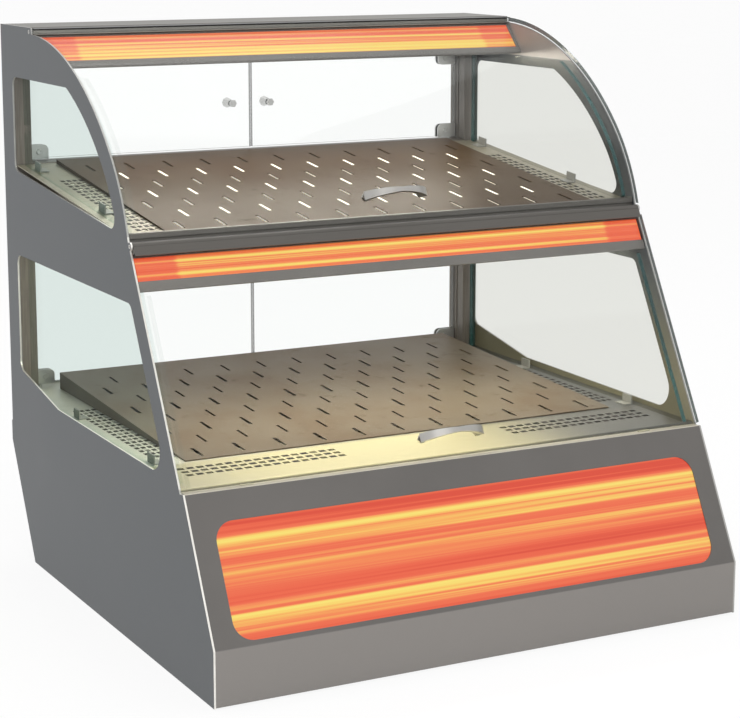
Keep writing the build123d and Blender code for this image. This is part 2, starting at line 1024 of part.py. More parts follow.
def door_knob(span):
    """A knob that widens outward, its stem through the pane, and a nut in front of the pane."""
    x, height = knob_place(span)
    sections = [
        RegularPolygon(knob_foot, knob_sides),
        Pos(0, 0, knob_height) * RegularPolygon(knob_head, knob_sides),
    ]
    stem = prism(stem_radius, 6, -glass)
    nut = Pos(0, 0, -glass) * prism(nut_radius, 6, -nut_height)
    shape = loft(sections) + stem + nut
    return Pos(x, *at(door_plane + glass, height)) * Rot(-90, 0, 0) * shape


def door_fittings(span):
    return Part() + [door_clamp(span[0], 1), door_clamp(span[1], -1), door_knob(span)]


# Warm air chamber below the deck, with its fan and straight heating elements
chamber_half = 374
chamber_span = (150, 690)
chamber_floor = 168
fan_depth = 465
fan_radius = 62
fan_disc = 2
fan_gap = 10
fan_blades = 12
blade_size = (16, 1.5, 24)
blade_turn = 30
hub_radius = 9
hub_height = 14
shaft_radius = 4
shaft_reach = 30
shaft_hole = 6
motor_radius = 34
motor_sides = 16
motor_length = 46
motor_flange = (92, 92, 4)
element_depths = (590, 340)
element_radius = 3.5
element_level = 228
collar_radius = 7
collar_length = 12


def chamber_solid():
    front, back = chamber_span
    rim = deck_top - thin_sheet - slip
    corners = [(front, rim), (front, chamber_floor), (back, chamber_floor), (back, rim)]
    trough = folded(corners, thin_sheet, -chamber_half, chamber_half)
    ends = both(bar(outline(*corners), chamber_half, chamber_half + thin_sheet))
    hole = Pos(0, *at(fan_depth, chamber_floor)) * Cylinder(shaft_hole, beyond)
    return trough + ends - hole


def fan_motor_solid():
    body = prism(motor_radius, motor_sides, -motor_length)
    flange = Box(*motor_flange, align=hanging)
    bore = Cylinder(shaft_radius + pin_play, 2 * shaft_reach + 1)
    return Pos(0, *at(fan_depth, chamber_floor)) * (body + flange - bore)


def fan_wheel_solid():
    """A radial wheel: a disc with upright blades round its edge, a hub and the shaft."""
    disc = extrude(RegularPolygon(fan_radius, fan_blades), fan_disc / 2, both=True)
    hub = Cylinder(hub_radius, hub_height, align=upright)
    shaft = Cylinder(shaft_radius, shaft_reach + fan_gap, align=hanging)
    blade = Rot(0, 0, blade_turn) * Box(*blade_size, align=upright)
    blade = Pos(fan_radius - blade_size[0] / 2 - fan_disc, 0, fan_disc / 2) * blade
    wheel = disc + hub + shaft + [turn * blade for turn in PolarLocations(0, fan_blades)]
    return Pos(0, *at(fan_depth, chamber_floor + fan_gap)) * wheel


def deck_heater_solid():
    """Straight tubular elements in front of and behind the fan, each with two end collars."""
    collar = Rot(0, 90, 0) * prism(collar_radius, 6, -collar_length)
    elements = []
    for depth in element_depths:
        place = (depth, element_level)
        element = rod(-chamber_half, place, element_radius, 2 * chamber_half)
        elements.append(element + both(Pos(chamber_half, *at(*place)) * collar))
    return Part() + elements


# Controls: two thermostats with knobs, two rocker switches and the cable gland
thermostat_size = (34, 24, 30)
thermostat_set = 10
bushing_radius = 4.8
spindle_radius = 3
skirt_radius = 17
skirt_height = 3
grip_radius = 13
grip_height = 11
knob_facets = 12
pointer_size = (1.8, 9, 1.2)
bezel_size = (32, 2, 24)
switch_case = (27, 24.5, 19)
switch_well = (23, 14.5, 16)
rocker_half = 6.6
rocker_width = 22
rocker_pin = 1.2
rocker_profile = ((-1, -1), (-1, 3.4), (0, 1.4), (1, 5.4), (1, -1), (0, -5))
gland_radius = 8
gland_sides = 8
gland_bore = 4
gland_nut = (12, 6)
gland_back = 4


def on_control_face(x, gap=0):
    """A place on the control face, or in front of it by the gap, with z to the operator."""
    return Pos(x, *at(control_face + gap, control_height)) * Rot(-90, 0, 0)


def thermostats():
    """Behind the control face: the two thermostat bodies, with their bored bushings."""
    width, depth, height = thermostat_size
    body = Pos(0, 0, -thermostat_set) * Box(width, height, depth, align=hanging)
    bushing = prism(bushing_radius, bushing_sides, -thermostat_set)
    bore = Cylinder(spindle_radius + pin_play, 2 * (thermostat_set + depth + 1))
    shape = body + bushing - bore
    return Part() + [on_control_face(x, slip) * shape for x in knob_places]


def control_knob(x):
    """A twelve-sided knob on a wider skirt, with a pointer ridge and its spindle."""
    skirt = prism(skirt_radius, knob_facets, skirt_height)
    grip = Pos(0, 0, skirt_height) * prism(grip_radius, knob_facets, grip_height)
    top = skirt_height + grip_height
    pointer = Pos(0, grip_radius / 2, top) * Box(*pointer_size, align=upright)
    spindle = Cylinder(spindle_radius, thermostat_set + thermostat_size[1], align=hanging)
    return on_control_face(x, slip + touch) * (skirt + grip + pointer + spindle)


def switch_bodies():
    """Rocker switch bodies: a bezel on the control face and a bored box behind it."""
    bezel = Pos(0, bezel_size[1] / 2, 0) * Box(*bezel_size)
    case = Pos(0, -switch_case[1] / 2, 0) * Box(*switch_case)
    socket_start = -switch_well[0] / 2 - 1
    socket = rod(socket_start, (case_depth / 2, 0), rocker_pin + pin_play, -2 * socket_start)
    shape = bezel + case - Box(*switch_well) - socket
    face = Pos(0, *at(control_face, control_height))
    return Part() + [Pos(x, 0, 0) * face * shape for x in switch_places]


def rocker(x):
    """A rocker: a cap with two sloping faces on a pivot pin along the width."""
    points = [(side * rocker_half, height) for side, height in rocker_profile]
    cap = extrude(Plane.YZ * make_face(Polyline(*points, close=True)), rocker_width / 2, both=True)
    pin_start = -rocker_width / 2 - 1
    cap += rod(pin_start, (case_depth / 2, 0), rocker_pin, -2 * pin_start)
    return on_control_face(x) * cap


def gland_solid():
    """The cable gland through the control face: a bored barrel with a nut on each side."""
    barrel = prism(gland_radius, gland_sides, -thin_sheet)
    outer_nut = prism(gland_nut[0], 6, gland_nut[1])
    inner_nut = Pos(0, 0, -thin_sheet) * prism(gland_nut[0], 6, -gland_back)
    shape = barrel + outer_nut + inner_nut - Cylinder(gland_bore, 2 * beyond)
    return on_control_face(gland_x) * shape


# Lamp driver in the base, and the soft buffers below the flat glass
driver_size = (180, 40, 30)
driver_feet = (210, 24, 2)
driver_place = (-250, 300)
buffer_size = (18, 7, 0.9)
buffer_x = 300
buffer_depth = 98.5


def lamp_driver():
    x, depth = driver_place
    body = Box(*driver_size, align=upright)
    feet = Box(*driver_feet, align=upright)
    return Pos(x, *at(depth, pad_height + front_sheet + thin_sheet)) * (body + feet)


def glass_buffers():
    height = front_top[1] + buffer_size[2] / 2
    return both(block(buffer_x, buffer_depth, height, buffer_size))


def mirrored_pair(name, solid):
    """The names and solids of a piece that stands on both sides of the case."""
    return {name.format("right"): solid, name.format("left"): mirrored(solid)}


def build():
    upper_handle = upper_handle_plane()
    lower_handle = lower_handle_plane()
    pieces = {
        "front_panel": front_panel_solid(),
        "graphic_panel": graphic_panel_solid(),
        "graphic_light_box": light_box_solid(),
        "light_tubes": light_tubes(),
        "lamp_holders": lamp_holders(),
        "base_pan": base_pan_solid(),
        "rear_service_panel": rear_panel_solid(),
        "foot_pads": foot_pads(),
        "deck_plate": deck_solid(),
        "lower_tray": lower_tray_solid(),
        "shelf_deck": shelf_deck_solid(),
        "shelf_tray": shelf_tray_solid(),
        "shelf_pan": shelf_pan_solid(),
        "shelf_border": shelf_border_solid(),
        "shelf_light_strip": shelf_strip_solid(),
        "shelf_trim": shelf_trim_solid(),
        "shelf_heater": shelf_heater_solid(),
        "shelf_rear_rail": shelf_rail_solid(),
        "pane_clips": pane_clips(),
        "header_housing": header_solid(),
        "header_light_strip": header_strip_solid(),
        "roof_panel": roof_solid(),
        "upper_front_glass": upper_glass_solid() - upper_handle * handle_holes(),
        "upper_glass_rail": upper_rail_solid(),
        "upper_glass_pins": hinge_pins(upper_pivot),
        "upper_glass_handle": upper_handle * bow_handle(),
        "lower_front_glass": lower_glass_solid() - lower_handle * handle_holes(),
        "lower_glass_rail": lower_rail_solid(),
        "lower_glass_pins": hinge_pins(lower_pivot),
        "lower_glass_handle": lower_handle * bow_handle(),
        "glass_buffers": glass_buffers(),
        "warm_air_chamber": chamber_solid(),
        "fan_motor": fan_motor_solid(),
        "fan_wheel": fan_wheel_solid(),
        "deck_heater": deck_heater_solid(),
        "thermostats": thermostats(),
        "switch_bodies": switch_bodies(),
        "cable_gland": gland_solid(),
        "lamp_driver": lamp_driver(),
        **mirrored_pair("{}_side_panel", side_sheet_solid()),
        **mirrored_pair("{}_rear_post", post_solid()),
        **mirrored_pair("lower_{}_pane", lower_pane_solid()),
        **mirrored_pair("upper_{}_pane", upper_pane_solid()),
        **mirrored_pair("lower_{}_door", door_pane(lower_door)),
        **mirrored_pair("upper_{}_door", door_pane(upper_door)),
        **mirrored_pair("lower_{}_door_fittings", door_fittings(lower_door)),
        **mirrored_pair("upper_{}_door_fittings", door_fittings(upper_door)),
    }
    for name, x in zip(("deck_heat_knob", "shelf_heat_knob"), knob_places):
        pieces[name] = control_knob(x)
    for name, x in zip(("power_rocker", "light_rocker"), switch_places):
        pieces[name] = rocker(x)
    return pieces


for name, solid in build().items():
    export_step(solid, f"parts/{name}.step")
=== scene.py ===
from math import cos, pi, radians, sin

import bmesh
import bpy
from mathutils import Matrix, Vector


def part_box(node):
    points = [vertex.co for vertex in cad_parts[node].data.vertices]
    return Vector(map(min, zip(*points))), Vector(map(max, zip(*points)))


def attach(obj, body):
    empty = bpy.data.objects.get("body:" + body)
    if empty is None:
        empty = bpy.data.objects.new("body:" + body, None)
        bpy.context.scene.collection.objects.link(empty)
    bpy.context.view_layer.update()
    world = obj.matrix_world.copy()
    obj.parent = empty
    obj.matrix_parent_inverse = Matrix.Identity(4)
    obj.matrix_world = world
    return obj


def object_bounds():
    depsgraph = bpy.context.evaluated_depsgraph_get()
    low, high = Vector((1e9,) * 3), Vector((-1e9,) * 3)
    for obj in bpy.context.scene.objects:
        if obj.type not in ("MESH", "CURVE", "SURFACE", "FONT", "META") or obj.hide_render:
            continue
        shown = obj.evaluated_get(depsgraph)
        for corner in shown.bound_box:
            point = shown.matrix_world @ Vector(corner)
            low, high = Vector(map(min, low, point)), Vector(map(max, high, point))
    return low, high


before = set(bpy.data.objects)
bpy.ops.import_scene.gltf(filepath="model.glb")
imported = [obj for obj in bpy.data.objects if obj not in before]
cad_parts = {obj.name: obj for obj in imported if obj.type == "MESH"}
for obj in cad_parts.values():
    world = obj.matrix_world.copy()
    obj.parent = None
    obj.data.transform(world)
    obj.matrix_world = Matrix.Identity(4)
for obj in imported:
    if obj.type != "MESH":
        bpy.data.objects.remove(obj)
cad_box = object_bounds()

# Heated display case, dressed in the order in which it is put together. Metres, the CAD's own
# frame: X along the width, +Y to the operator's side, +Z up from the counter.


# Side sheets, front panel, roof and rear panel
# Laser cut and folded steel with a satin grey powder coat. The side sheets' cut edges are left
# bright: a pale line beside the front glasses and round the windows.

class Signal:
    """A shader socket that takes part in plain arithmetic."""

    def __init__(self, finish, socket):
        self.finish = finish
        self.socket = socket

    def maths(self, operation, *others):
        return self.finish.node("ShaderNodeMath", {"operation": operation}, [self, *others])

    def __add__(self, other):
        return self.maths("ADD", other)

    def __mul__(self, other):
        return self.maths("MULTIPLY", other)

    def __sub__(self, other):
        return self.maths("SUBTRACT", other)

    def __rsub__(self, other):
        return self.finish.node("ShaderNodeMath", {"operation": "SUBTRACT"}, [other, self])

    def __truediv__(self, other):
        return self.maths("DIVIDE", other)

    def __pow__(self, other):
        return self.maths("POWER", other)

    def __gt__(self, other):
        return self.maths("GREATER_THAN", other)

    def __lt__(self, other):
        return self.maths("LESS_THAN", other)

    def __abs__(self):
        return self.maths("ABSOLUTE")

    def most(self, other):
        return self.maths("MAXIMUM", other)

    def between(self, low, high):
        """0 below the low value, 1 above the high one, smooth between them."""
        settings = {"interpolation_type": "SMOOTHSTEP"}
        inputs = {"Value": self, "From Min": low, "From Max": high}
        return self.finish.node("ShaderNodeMapRange", settings, inputs)

    __radd__ = __add__
    __rmul__ = __mul__


class Finish:
    """A procedural material, or a world, under construction."""

    def __init__(self, name, kind="Material"):
        self.owner = getattr(bpy.data, kind.lower() + "s").new(name)
        self.owner.use_nodes = True
        self.tree = self.owner.node_tree
        self.tree.nodes.clear()
        self.output = self.tree.nodes.new("ShaderNodeOutput" + kind)

    def node(self, kind, settings=None, inputs=(), output=0):
        made = self.tree.nodes.new(kind)
        for name, value in (settings or {}).items():
            if name == "stops":
                ramp = made.color_ramp
                while len(ramp.elements) < len(value):
                    ramp.elements.new(0.5)
                for element, (place, colour) in zip(ramp.elements, value):
                    element.position = place
                    element.color = (*colour, 1)
            else:
                setattr(made, name, value)
        pairs = inputs.items() if isinstance(inputs, dict) else enumerate(inputs)
        for name, value in pairs:
            socket = made.inputs[name]
            if isinstance(value, Signal):
                self.tree.links.new(value.socket, socket)
            else:
                socket.default_value = value
        return Signal(self, made.outputs[output])

    def place(self):
        """Where a point lies, in metres, in the frame of the case at rest."""
        return self.node("ShaderNodeTexCoord", output="Object")

    def facing(self):
        """The direction that the surface faces, in the frame of the case at rest."""
        return self.node("ShaderNodeTexCoord", output="Normal")

    def parts(self, vector):
        split = self.node("ShaderNodeSeparateXYZ", None, [vector])
        return [Signal(self, socket) for socket in split.socket.node.outputs]

    def noise(self, scale, detail=3, roughness=0.55, stretch=(1, 1, 1)):
        spread = self.node("ShaderNodeVectorMath", {"operation": "MULTIPLY"}, [self.place(), stretch])
        inputs = {"Vector": spread, "Scale": scale, "Detail": detail, "Roughness": roughness}
        return self.node("ShaderNodeTexNoise", {"normalize": True}, inputs)

    def blend(self, factor, first, second):
        """A Mix node's colour sockets share their names with others, so they go by number."""
        settings = {"data_type": "RGBA", "clamp_factor": True}
        low, high = [(*c, 1) if isinstance(c, tuple) else c for c in (first, second)]
        return self.node("ShaderNodeMix", settings, {0: factor, 6: low, 7: high}, output=2)

    def ramp(self, factor, *stops):
        return self.node("ShaderNodeValToRGB", {"stops": stops}, [factor])

    def bump(self, height, distance, strength=1.0):
        inputs = {"Strength": strength, "Distance": distance, "Height": height}
        return self.node("ShaderNodeBump", None, inputs)

    def clear(self, tint):
        return self.node("ShaderNodeBsdfTransparent", None, {"Color": (*tint, 1)})

    def mixed(self, factor, first, second):
        """One shader where the factor is 0 and the other where it is 1."""
        return self.node("ShaderNodeMixShader", None, [factor, first, second])

    def principled(self, **inputs):
        named = {key.replace("_", " "): value for key, value in inputs.items()}
        for key, value in named.items():
            if isinstance(value, tuple) and len(value) == 3:
                named[key] = (*value, 1)
        return self.node("ShaderNodeBsdfPrincipled", None, named)

    def shade(self, shader):
        self.tree.links.new(shader.socket, self.output.inputs["Surface"])
        return self.owner


def ink(red, green, blue):
    """A display colour from 0 to 255 as the linear colour that a shader takes."""
    def straight(value):
        share = value / 255
        return share / 12.92 if share <= 0.04045 else ((share + 0.055) / 1.055) ** 2.4
    return straight(red), straight(green), straight(blue)


def scaled(colour, factor, lift=0.0):
    """A colour made darker or paler."""
    return tuple(channel * factor + lift for channel in colour)


def wear(material, *nodes):
    """Gives CAD nodes their material."""
    for name in nodes:
        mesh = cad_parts[name].data
        mesh.materials.clear()
        mesh.materials.append(material)


def powder_coat(name, colour, zones=None):
    """The zones take the finish and its coat, and give the coat and how bare the metal is."""
    finish = Finish(name)
    x, y, z = finish.parts(finish.place())
    cloud = finish.noise(5, 4)
    fine = finish.noise(900, 2)
    peel = finish.noise(260, 2)
    dusty = scaled(colour, 1.16, 0.008)
    coat = finish.blend(cloud.between(0.3, 0.75), scaled(colour, 0.86), colour)
    coat = finish.blend(fine.between(0.62, 0.8) * 0.35, coat, dusty)
    rubbed = finish.noise(38, 5, 0.7, (1, 1, 0.25)).between(0.66, 0.8) * (1 - z.between(0.0, 0.12))
    coat = finish.blend(rubbed * 0.4, coat, dusty)
    bare = 0.0
    if zones:
        coat, bare = zones(finish, coat)
    return finish.shade(finish.principled(
        Base_Color=coat,
        Roughness=cloud * 0.12 + fine * 0.06 + 0.30 - bare * 0.08,
        Metallic=bare * 0.6,
        Specular_IOR_Level=0.42,
        Normal=finish.bump(peel * 0.7 + fine * 0.3, 0.00012, 0.35),
    ))


side_grey = ink(75, 79, 82)
front_grey = ink(95, 92, 89)
roof_grey = ink(98, 95, 88)
pane_top = 0.735
deck_glow = (0.26, 0.46)
curve_foot = 0.545
kick_fold = (0.0735, 0.0755)


def side_sheet_zones(finish, coat):
    """Painted light: paler inner faces above the panes and beside the deck. Also the bright cut edges."""
    x, y, z = finish.parts(finish.place())
    across, along, up = finish.parts(finish.facing())
    inward = (across * x) < 0.0
    coat = finish.blend(inward * (z > pane_top), coat, ink(158, 150, 144))
    coat = finish.blend(inward * (1 - z.between(*deck_glow)) * 0.8, coat, ink(140, 135, 114))
    cut = (abs(across) < 0.5) * (along < 0.3) * (1 - (x > 0.0) * 0.6) * (1 - (z > curve_foot) * 0.55)
    lines = finish.noise(700, 2, 0.5, (1, 0.08, 0.08))
    steel = finish.blend(lines, ink(206, 203, 196), ink(248, 246, 240))
    return finish.blend(cut, coat, steel), cut


def front_panel_zones(finish, coat):
    """Painted light: the kick below the fold is painted paler, and the flange pale where light falls."""
    x, y, z = finish.parts(finish.place())
    across, along, up = finish.parts(finish.facing())
    coat = finish.blend(1 - z.between(*kick_fold), coat, scaled(front_grey, 1.7))
    return finish.blend((up > 0.8) * 0.8, coat, ink(206, 200, 184)), 0.0


side_coat = powder_coat("side_powder_coat", side_grey, side_sheet_zones)
wear(side_coat, "right_side_panel", "left_side_panel")
wear(powder_coat("front_powder_coat", front_grey, front_panel_zones), "front_panel")
wear(powder_coat("roof_powder_coat", roof_grey), "roof_panel", "rear_service_panel")


# Base pan, air chamber and posts
# Bare galvanised and stainless sheet: the pan closes the base, the chamber below the deck holds
# the heater and fan, and the two channel posts at the back carry the doors and the roof.

brush_lines = (0.05, 1, 1)


def rolled_steel(
    name, dark, light, grain=brush_lines, streak=900, roughness=0.28, metal=0.9, holes=None, zones=None,
):
    finish = Finish(name)
    cloud = finish.noise(4, 4)
    lines = finish.noise(streak, 3, 0.6, grain)
    wide = finish.noise(streak * 0.12, 3, 0.6, grain)
    smear = finish.noise(14, 5, 0.65).between(0.52, 0.8)
    tone = lines * 0.55 + wide * 0.25 + cloud * 0.2
    colour = finish.blend(tone.between(0.25, 0.75), dark, light)
    colour = finish.blend(smear * 0.22, colour, scaled(dark, 0.8))
    rough = lines * 0.14 + smear * 0.1 + roughness
    if zones:
        colour = zones(finish, colour, lines)
    if holes:
        # Painted shade: the drawn slots are coloured dark, as the shade inside a hole.
        painted_slot_shade = holes(finish)
        colour = finish.blend(painted_slot_shade, colour, ink(38, 34, 30))
        rough = rough + painted_slot_shade * 0.3
    normal = finish.bump(lines, 0.00003, 0.5)
    steel = finish.principled(Base_Color=colour, Roughness=rough, Metallic=metal, Normal=normal)
    return finish.shade(steel)


plated = rolled_steel(
    "galvanised_sheet", ink(120, 122, 124), ink(176, 178, 180),
    grain=(1, 1, 1), streak=30, roughness=0.4,
)
post_steel = rolled_steel(
    "post_steel", ink(84, 79, 74), ink(126, 120, 112),
    grain=(1, 1, 0.03), streak=800, roughness=0.36, metal=0.5,
)
wear(plated, "base_pan", "warm_air_chamber")
wear(post_steel, "left_rear_post", "right_rear_post", "shelf_rear_rail")


# Deck and shelf
# Brushed stainless plates with punched slots, and more slots drawn between them in dark, a
# painted shade. The brush lines run along the width. The light of the shelf above is painted
# on the deck's front strip, fading to grey on the right, and painted shade darkens the rest of
# the plate towards the right.

tray_front = (-0.165, -0.150)
side_columns = (0.332, 0.009, 4, 0.0064)
side_rows = (0.017, 18, 0.0105)
front_columns = (0.133, 0.0135, 17, 0.0098)
front_rows = (0.016, 3, 0.0090)


def dashes(place, first, pitch, count, length):
    """1 where the coordinate lies in one of the evenly spaced slots, and 0 between them."""
    turns = (place - first) / pitch + 0.5
    nearness = abs(turns.maths("FRACT") - 0.5) * pitch
    return (nearness < length / 2) * (turns > 0.0) * (turns < float(count))


def slot_fields(side_start, front_start=None):
    """The fields of slots drawn down each side, and along the front edge where there is one."""
    def mask(finish):
        x, y, z = finish.parts(finish.place())
        across, along, up = finish.parts(finish.facing())
        field = dashes(abs(x), *side_columns) * dashes(y, side_start, *side_rows)
        if front_start is not None:
            field = field.most(dashes(abs(x), *front_columns) * dashes(y, front_start, *front_rows))
        return field * (up > 0.5)
    return mask


def painted_front_light(finish, colour, lines):
    """Painted light: a cream glow on the strip before the tray, fading to grey on the right."""
    x, y, z = finish.parts(finish.place())
    cream = finish.blend(lines, ink(176, 168, 132), ink(212, 204, 162))
    strip = finish.blend(x.between(-0.02, 0.26), cream, ink(98, 97, 92))
    strip = finish.blend((1 - x.between(-0.39, -0.20)) * 0.6, strip, ink(150, 147, 128))
    # Painted shade: the plate behind the strip grows darker towards the right.
    plate = finish.blend(x.between(-0.34, 0.20), colour, ink(92, 93, 90))
    return finish.blend(1 - y.between(*tray_front), plate, strip)


wear(rolled_steel(
    "deck_stainless", ink(182, 180, 168), ink(214, 211, 199), roughness=0.34, metal=0.35,
    holes=slot_fields(-0.109, -0.216), zones=painted_front_light,
), "deck_plate")
wear(rolled_steel(
    "shelf_stainless", ink(124, 120, 106), ink(162, 156, 138), roughness=0.34, metal=0.4,
    holes=slot_fields(-0.079),
), "shelf_deck")


# Loose trays
# Slotted stainless plates, brown partly from crumbs and use and partly from painted reflection
# of food, with dull smears between their slots. The slots drawn between the cut ones are painted:
# in the lower tray dark, as painted shade; in the upper one they glow, as painted light of the
# shelf's heating mat, which shows through the cut ones too.

tray_columns = (-0.270, 0.060, 10, 0.0038)
row_pitch = 0.110
slot_length = 0.034


def tray_steel(name, fresh, used, burnt, first_row, rows, painted_slot_tone, slot_shade_share, glow):
    """The plate with slots drawn between the cut ones, in every second column, in a painted tone."""
    finish = Finish(name)
    x, y, z = finish.parts(finish.place())
    across, along, up = finish.parts(finish.facing())
    slots = dashes(x, *tray_columns) * dashes(y, first_row, row_pitch, rows, slot_length) * (up > 0.5)
    lines = finish.noise(900, 3, 0.6, brush_lines)
    cloud = finish.noise(7, 5, 0.6)
    spots = finish.noise(46, 5, 0.7).between(0.56, 0.78)
    colour = finish.blend(lines, *fresh)
    colour = finish.blend(cloud.between(0.35, 0.7), colour, used)
    colour = finish.blend(spots * 0.35, colour, burnt)
    plate = finish.principled(
        Base_Color=finish.blend(slots, colour, painted_slot_tone),
        Roughness=lines * 0.12 + spots * 0.18 + cloud * 0.08 + 0.34,
        Metallic=0.06,
        Specular_IOR_Level=0.12,
        Normal=finish.bump(lines * 0.6 + spots * 0.4, 0.00004, 0.5),
        # Painted light: the drawn slots glow in the upper tray, for the heating mat below.
        Emission_Color=finish.blend(slots, (0.0, 0.0, 0.0), painted_slot_tone),
        Emission_Strength=glow,
    )
    # Painted shade: the lower tray's drawn slots are filled with a dark matt shader.
    slot_shade_shader = finish.principled(Base_Color=painted_slot_tone, Roughness=0.9, Specular_IOR_Level=0.0)
    return finish.shade(finish.mixed(slots * slot_shade_share, plate, slot_shade_shader))


# The trays' browns stand partly for crumbs and use and partly for painted reflection of food.
wear(tray_steel(
    "lower_tray_stainless", (ink(88, 80, 69), ink(114, 105, 92)), ink(94, 81, 66), ink(60, 48, 38),
    first_row=-0.068, rows=4, painted_slot_tone=ink(30, 26, 23), slot_shade_share=1.0, glow=0.0,
), "lower_tray")
wear(tray_steel(
    "shelf_tray_stainless", (ink(58, 46, 32), ink(84, 68, 49)), ink(68, 51, 34), ink(42, 31, 21),
    first_row=-0.018, rows=3, painted_slot_tone=ink(244, 238, 224), slot_shade_share=0.0, glow=0.85,
), "shelf_tray")


# Shelf housing, header housing and extruded trims
# The folded pans under the shelf and the roof are coated like the sides. The trim along the
# shelf's front and the two glass rails are extruded aluminium, sprayed to match.

rail_lip = 0.0032
rail_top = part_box("upper_glass_rail")[1].z


def sprayed_aluminium(name, colour, dark_above=None):
    finish = Finish(name)
    lines = finish.noise(1100, 2, 0.5, (0.02, 1, 1))
    cloud = finish.noise(6, 3)
    coat = finish.blend(lines * 0.6 + cloud * 0.4, colour, scaled(colour, 1.25, 0.01))
    if dark_above is not None:
        x, y, z = finish.parts(finish.place())
        coat = finish.blend(z > dark_above, coat, ink(24, 22, 20))
    rough = lines * 0.12 + 0.3
    normal = finish.bump(lines, 0.00003, 0.4)
    return finish.shade(finish.principled(Base_Color=coat, Roughness=rough, Metallic=0.45, Normal=normal))


housing_coat = powder_coat("housing_powder_coat", ink(112, 109, 105))
trim_coat = sprayed_aluminium("sprayed_aluminium", ink(82, 79, 75))
pale_rail = sprayed_aluminium("pale_rail", ink(138, 135, 129), rail_top - rail_lip)
wear(housing_coat, "shelf_pan", "header_housing", "shelf_border")
wear(trim_coat, "shelf_trim", "lower_glass_rail")
wear(pale_rail, "upper_glass_rail")


# Lit graphic, shelf strip and header strip
# Opal acrylic with a printed film, lit from behind by tubes. The film is a plain pattern of
# horizontal streaks in red, orange and yellow, redder along its two long edges.

strip_end = (0.325, 0.335)


def striped_film(name, bands, seed, glow, span, warm, redder_ends=0.0, shaded_top=0.0):
    """Streaks between two heights, redder at both long edges, and more yellow the warmer."""
    finish = Finish(name)
    x, y, z = finish.parts(finish.place())
    low, high = span
    share = (z - low) / (high - low)
    rim = (1 - share.between(0.0, 0.10)).most(share.between(0.86, 0.98))

    def streaks(along, upward, offset, detail, roughness):
        spread = finish.node("ShaderNodeCombineXYZ", None, [x * along + offset, share * upward, seed])
        inputs = {"Vector": spread, "Scale": 1.0, "Detail": detail, "Roughness": roughness}
        return finish.node("ShaderNodeTexNoise", None, inputs)

    broad = streaks(0.35, bands, seed, 1, 0.5)
    thin = streaks(0.7, bands * 3.1, seed * 2, 2, 0.6)
    tone = broad * 0.6 + thin * 0.4 + warm - rim * 0.10 - abs(x).between(*strip_end) * redder_ends
    colour = finish.ramp(
        tone,
        (0.34, ink(216, 70, 44)), (0.42, ink(231, 92, 58)), (0.50, ink(235, 108, 68)),
        (0.55, ink(240, 134, 76)), (0.585, ink(242, 172, 86)), (0.63, ink(244, 204, 98)),
        (0.72, ink(244, 222, 110)),
    )
    colour = finish.blend(share.between(0.84, 0.92) * shaded_top, colour, ink(128, 30, 22))
    grain = finish.noise(300, 2)
    return finish.shade(finish.principled(
        Base_Color=finish.blend(0.88, colour, (0.0, 0.0, 0.0)),
        Roughness=grain * 0.08 + 0.16,
        Emission_Color=colour,
        Emission_Strength=glow,
        Normal=finish.bump(grain, 0.00002, 0.3),
    ))


graphic_film = striped_film("graphic_film", 8.5, 3.7, 0.86, (0.080, 0.2135), 0.004)
shelf_film = striped_film("shelf_strip_film", 4.5, 8.1, 0.88, (0.4883, 0.5225), 0.080, 0.09, 0.9)
header_film = striped_film("header_strip_film", 4.5, 12.4, 0.86, (0.7487, 0.7809), 0.095, 0.07)
wear(graphic_film, "graphic_panel")
wear(shelf_film, "shelf_light_strip")
wear(header_film, "header_light_strip")


# Light box, tubes and lamp holders
# A white enamelled box behind the graphic, with slim tubes in white holders; the same tubes
# light the shelf strip and the header strip. Their end caps are bare metal.

cap_start = 0.340


def enamel(name, colour, roughness=0.35):
    finish = Finish(name)
    cloud = finish.noise(9, 3)
    fine = finish.noise(500, 2)
    paint = finish.blend(cloud, scaled(colour, 0.9), colour)
    rough = fine * 0.1 + cloud * 0.08 + roughness
    normal = finish.bump(fine, 0.00005, 0.3)
    return finish.shade(finish.principled(Base_Color=paint, Roughness=rough, Normal=normal))


def tube_glass():
    finish = Finish("lamp_tube")
    x, y, z = finish.parts(finish.place())
    cap = abs(x) > cap_start
    haze = finish.noise(30, 3)
    glass = finish.blend(haze, ink(246, 240, 222), ink(255, 250, 236))
    return finish.shade(finish.principled(
        Base_Color=finish.blend(cap, glass, ink(190, 188, 184)),
        Roughness=haze * 0.1 + 0.2,
        Metallic=cap * 0.9,
        Emission_Color=finish.blend(cap, ink(255, 240, 205), (0.0, 0.0, 0.0)),
        Emission_Strength=0.9,
    ))


wear(enamel("white_enamel", ink(236, 234, 228)), "graphic_light_box")
wear(tube_glass(), "light_tubes")
wear(enamel("white_moulding", ink(228, 226, 218), 0.42), "lamp_holders")


# Panes, front glasses and doors
# Clear toughened glass, 6 mm thick. Seen face on it is almost invisible; the ground edges carry
# the dark green of the glass. The side panes' tints are partly the glass's own green and partly
# painted reflection: the left panes, seen at a slant, dimmer and greener, and the right ones beige
# from the interior that they reflect.

half_width = cad_box[1][0]
end_face = 0.0004
post_groove = 0.3105
glass_foot = 0.2526
flat_foot = (-0.2875, 0.2506)
flat_slope = (0.877, 0.4806)
low_centre, low_radius = (0.1417, 0.4637), 0.281
high_centre, high_radius = (0.2480, 0.3680), 0.424
low_arc_foot, high_arc_foot = 0.53, 0.65
tint_start = (0.030, 0.038)


